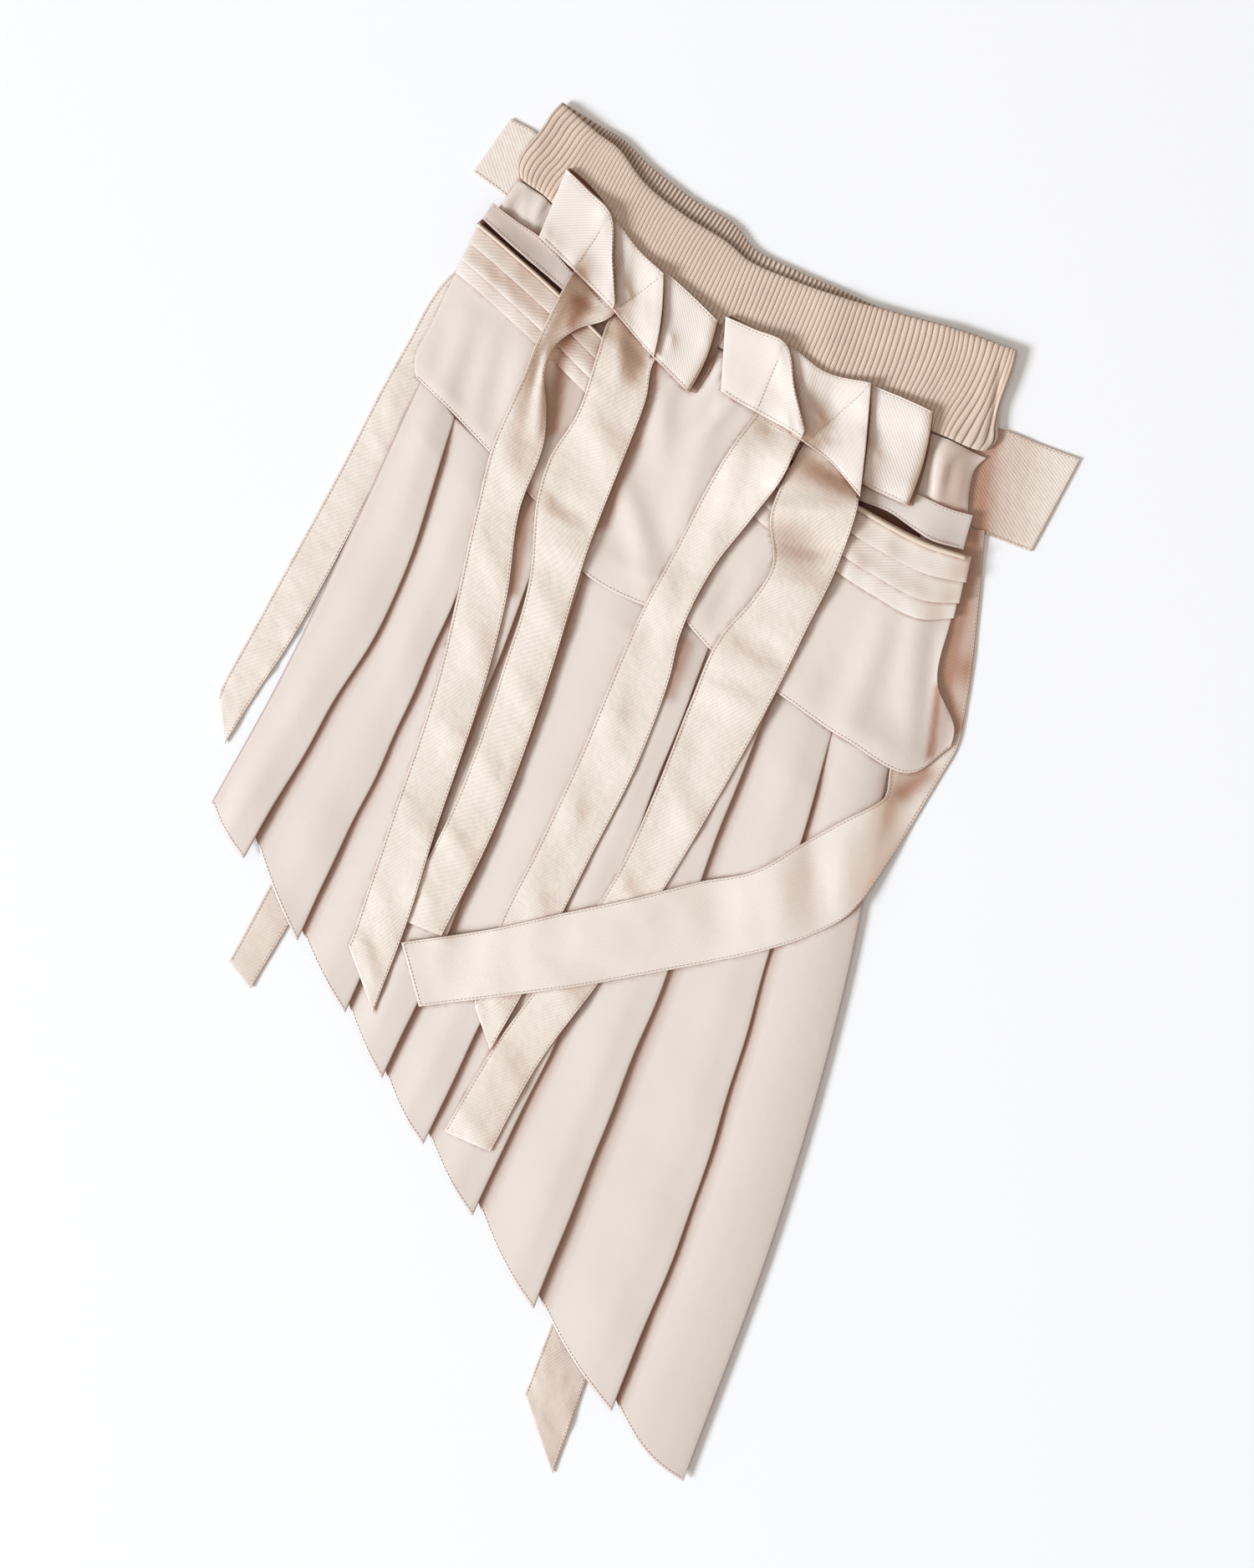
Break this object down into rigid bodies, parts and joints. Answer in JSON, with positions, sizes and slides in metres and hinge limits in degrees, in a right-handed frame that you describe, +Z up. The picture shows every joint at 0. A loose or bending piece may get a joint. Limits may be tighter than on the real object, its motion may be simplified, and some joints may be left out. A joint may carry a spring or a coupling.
{
  "type": "pleated skirt",
  "caption": "Flat-laid pleated skirt with a slanting hem, a rib-knit waistband, tucked pocket panels and tied satin belts.",
  "frame": {"origin": "centre of the whole outline, on the surface that the skirt lies on", "axes": "+Z up from the surface, +Y towards the waistband, +X towards the long side of the hem"},
  "size_m": [0.4772, 0.7896, 0.0263],
  "materials": {
    "body_satin": "smooth pale beige satin with a soft sheen",
    "belt_twill": "satin-faced twill, cream beige, fine diagonal lines and a brighter sheen",
    "waist_rib": "matt taupe rib knit"
  },
  "bodies": {
    "root": {"waistband": "waist_rib", "yoke_front": "body_satin", "yoke_back": "body_satin", "skirt_front": "body_satin", "skirt_back": "body_satin", "hip_band_left": "body_satin", "hip_band_right": "body_satin", "pocket_left": "body_satin", "pocket_right": "body_satin", "tuck_left_1": "belt_twill", "tuck_left_2": "belt_twill", "tuck_left_3": "belt_twill", "tuck_right_1": "belt_twill", "tuck_right_2": "belt_twill", "tuck_right_3": "belt_twill", "piping_left": "belt_twill", "piping_right": "belt_twill", "bow_left_wing_left": "belt_twill", "bow_left_centre": "belt_twill", "bow_left_wing_right": "belt_twill", "bow_left_tail_outer": "belt_twill", "bow_left_tail_inner": "belt_twill", "bow_right_wing_left": "belt_twill", "bow_right_centre": "belt_twill", "bow_right_wing_right": "belt_twill", "bow_right_tail_inner": "belt_twill", "bow_right_tail_outer": "belt_twill", "wrap_belt": "belt_twill", "back_bow_left_wing": "belt_twill", "back_bow_left_tail_outer": "belt_twill", "back_bow_left_tail_inner": "belt_twill", "back_bow_right_wing": "belt_twill", "back_bow_right_tail": "belt_twill"}
  },
  "joints": []
}
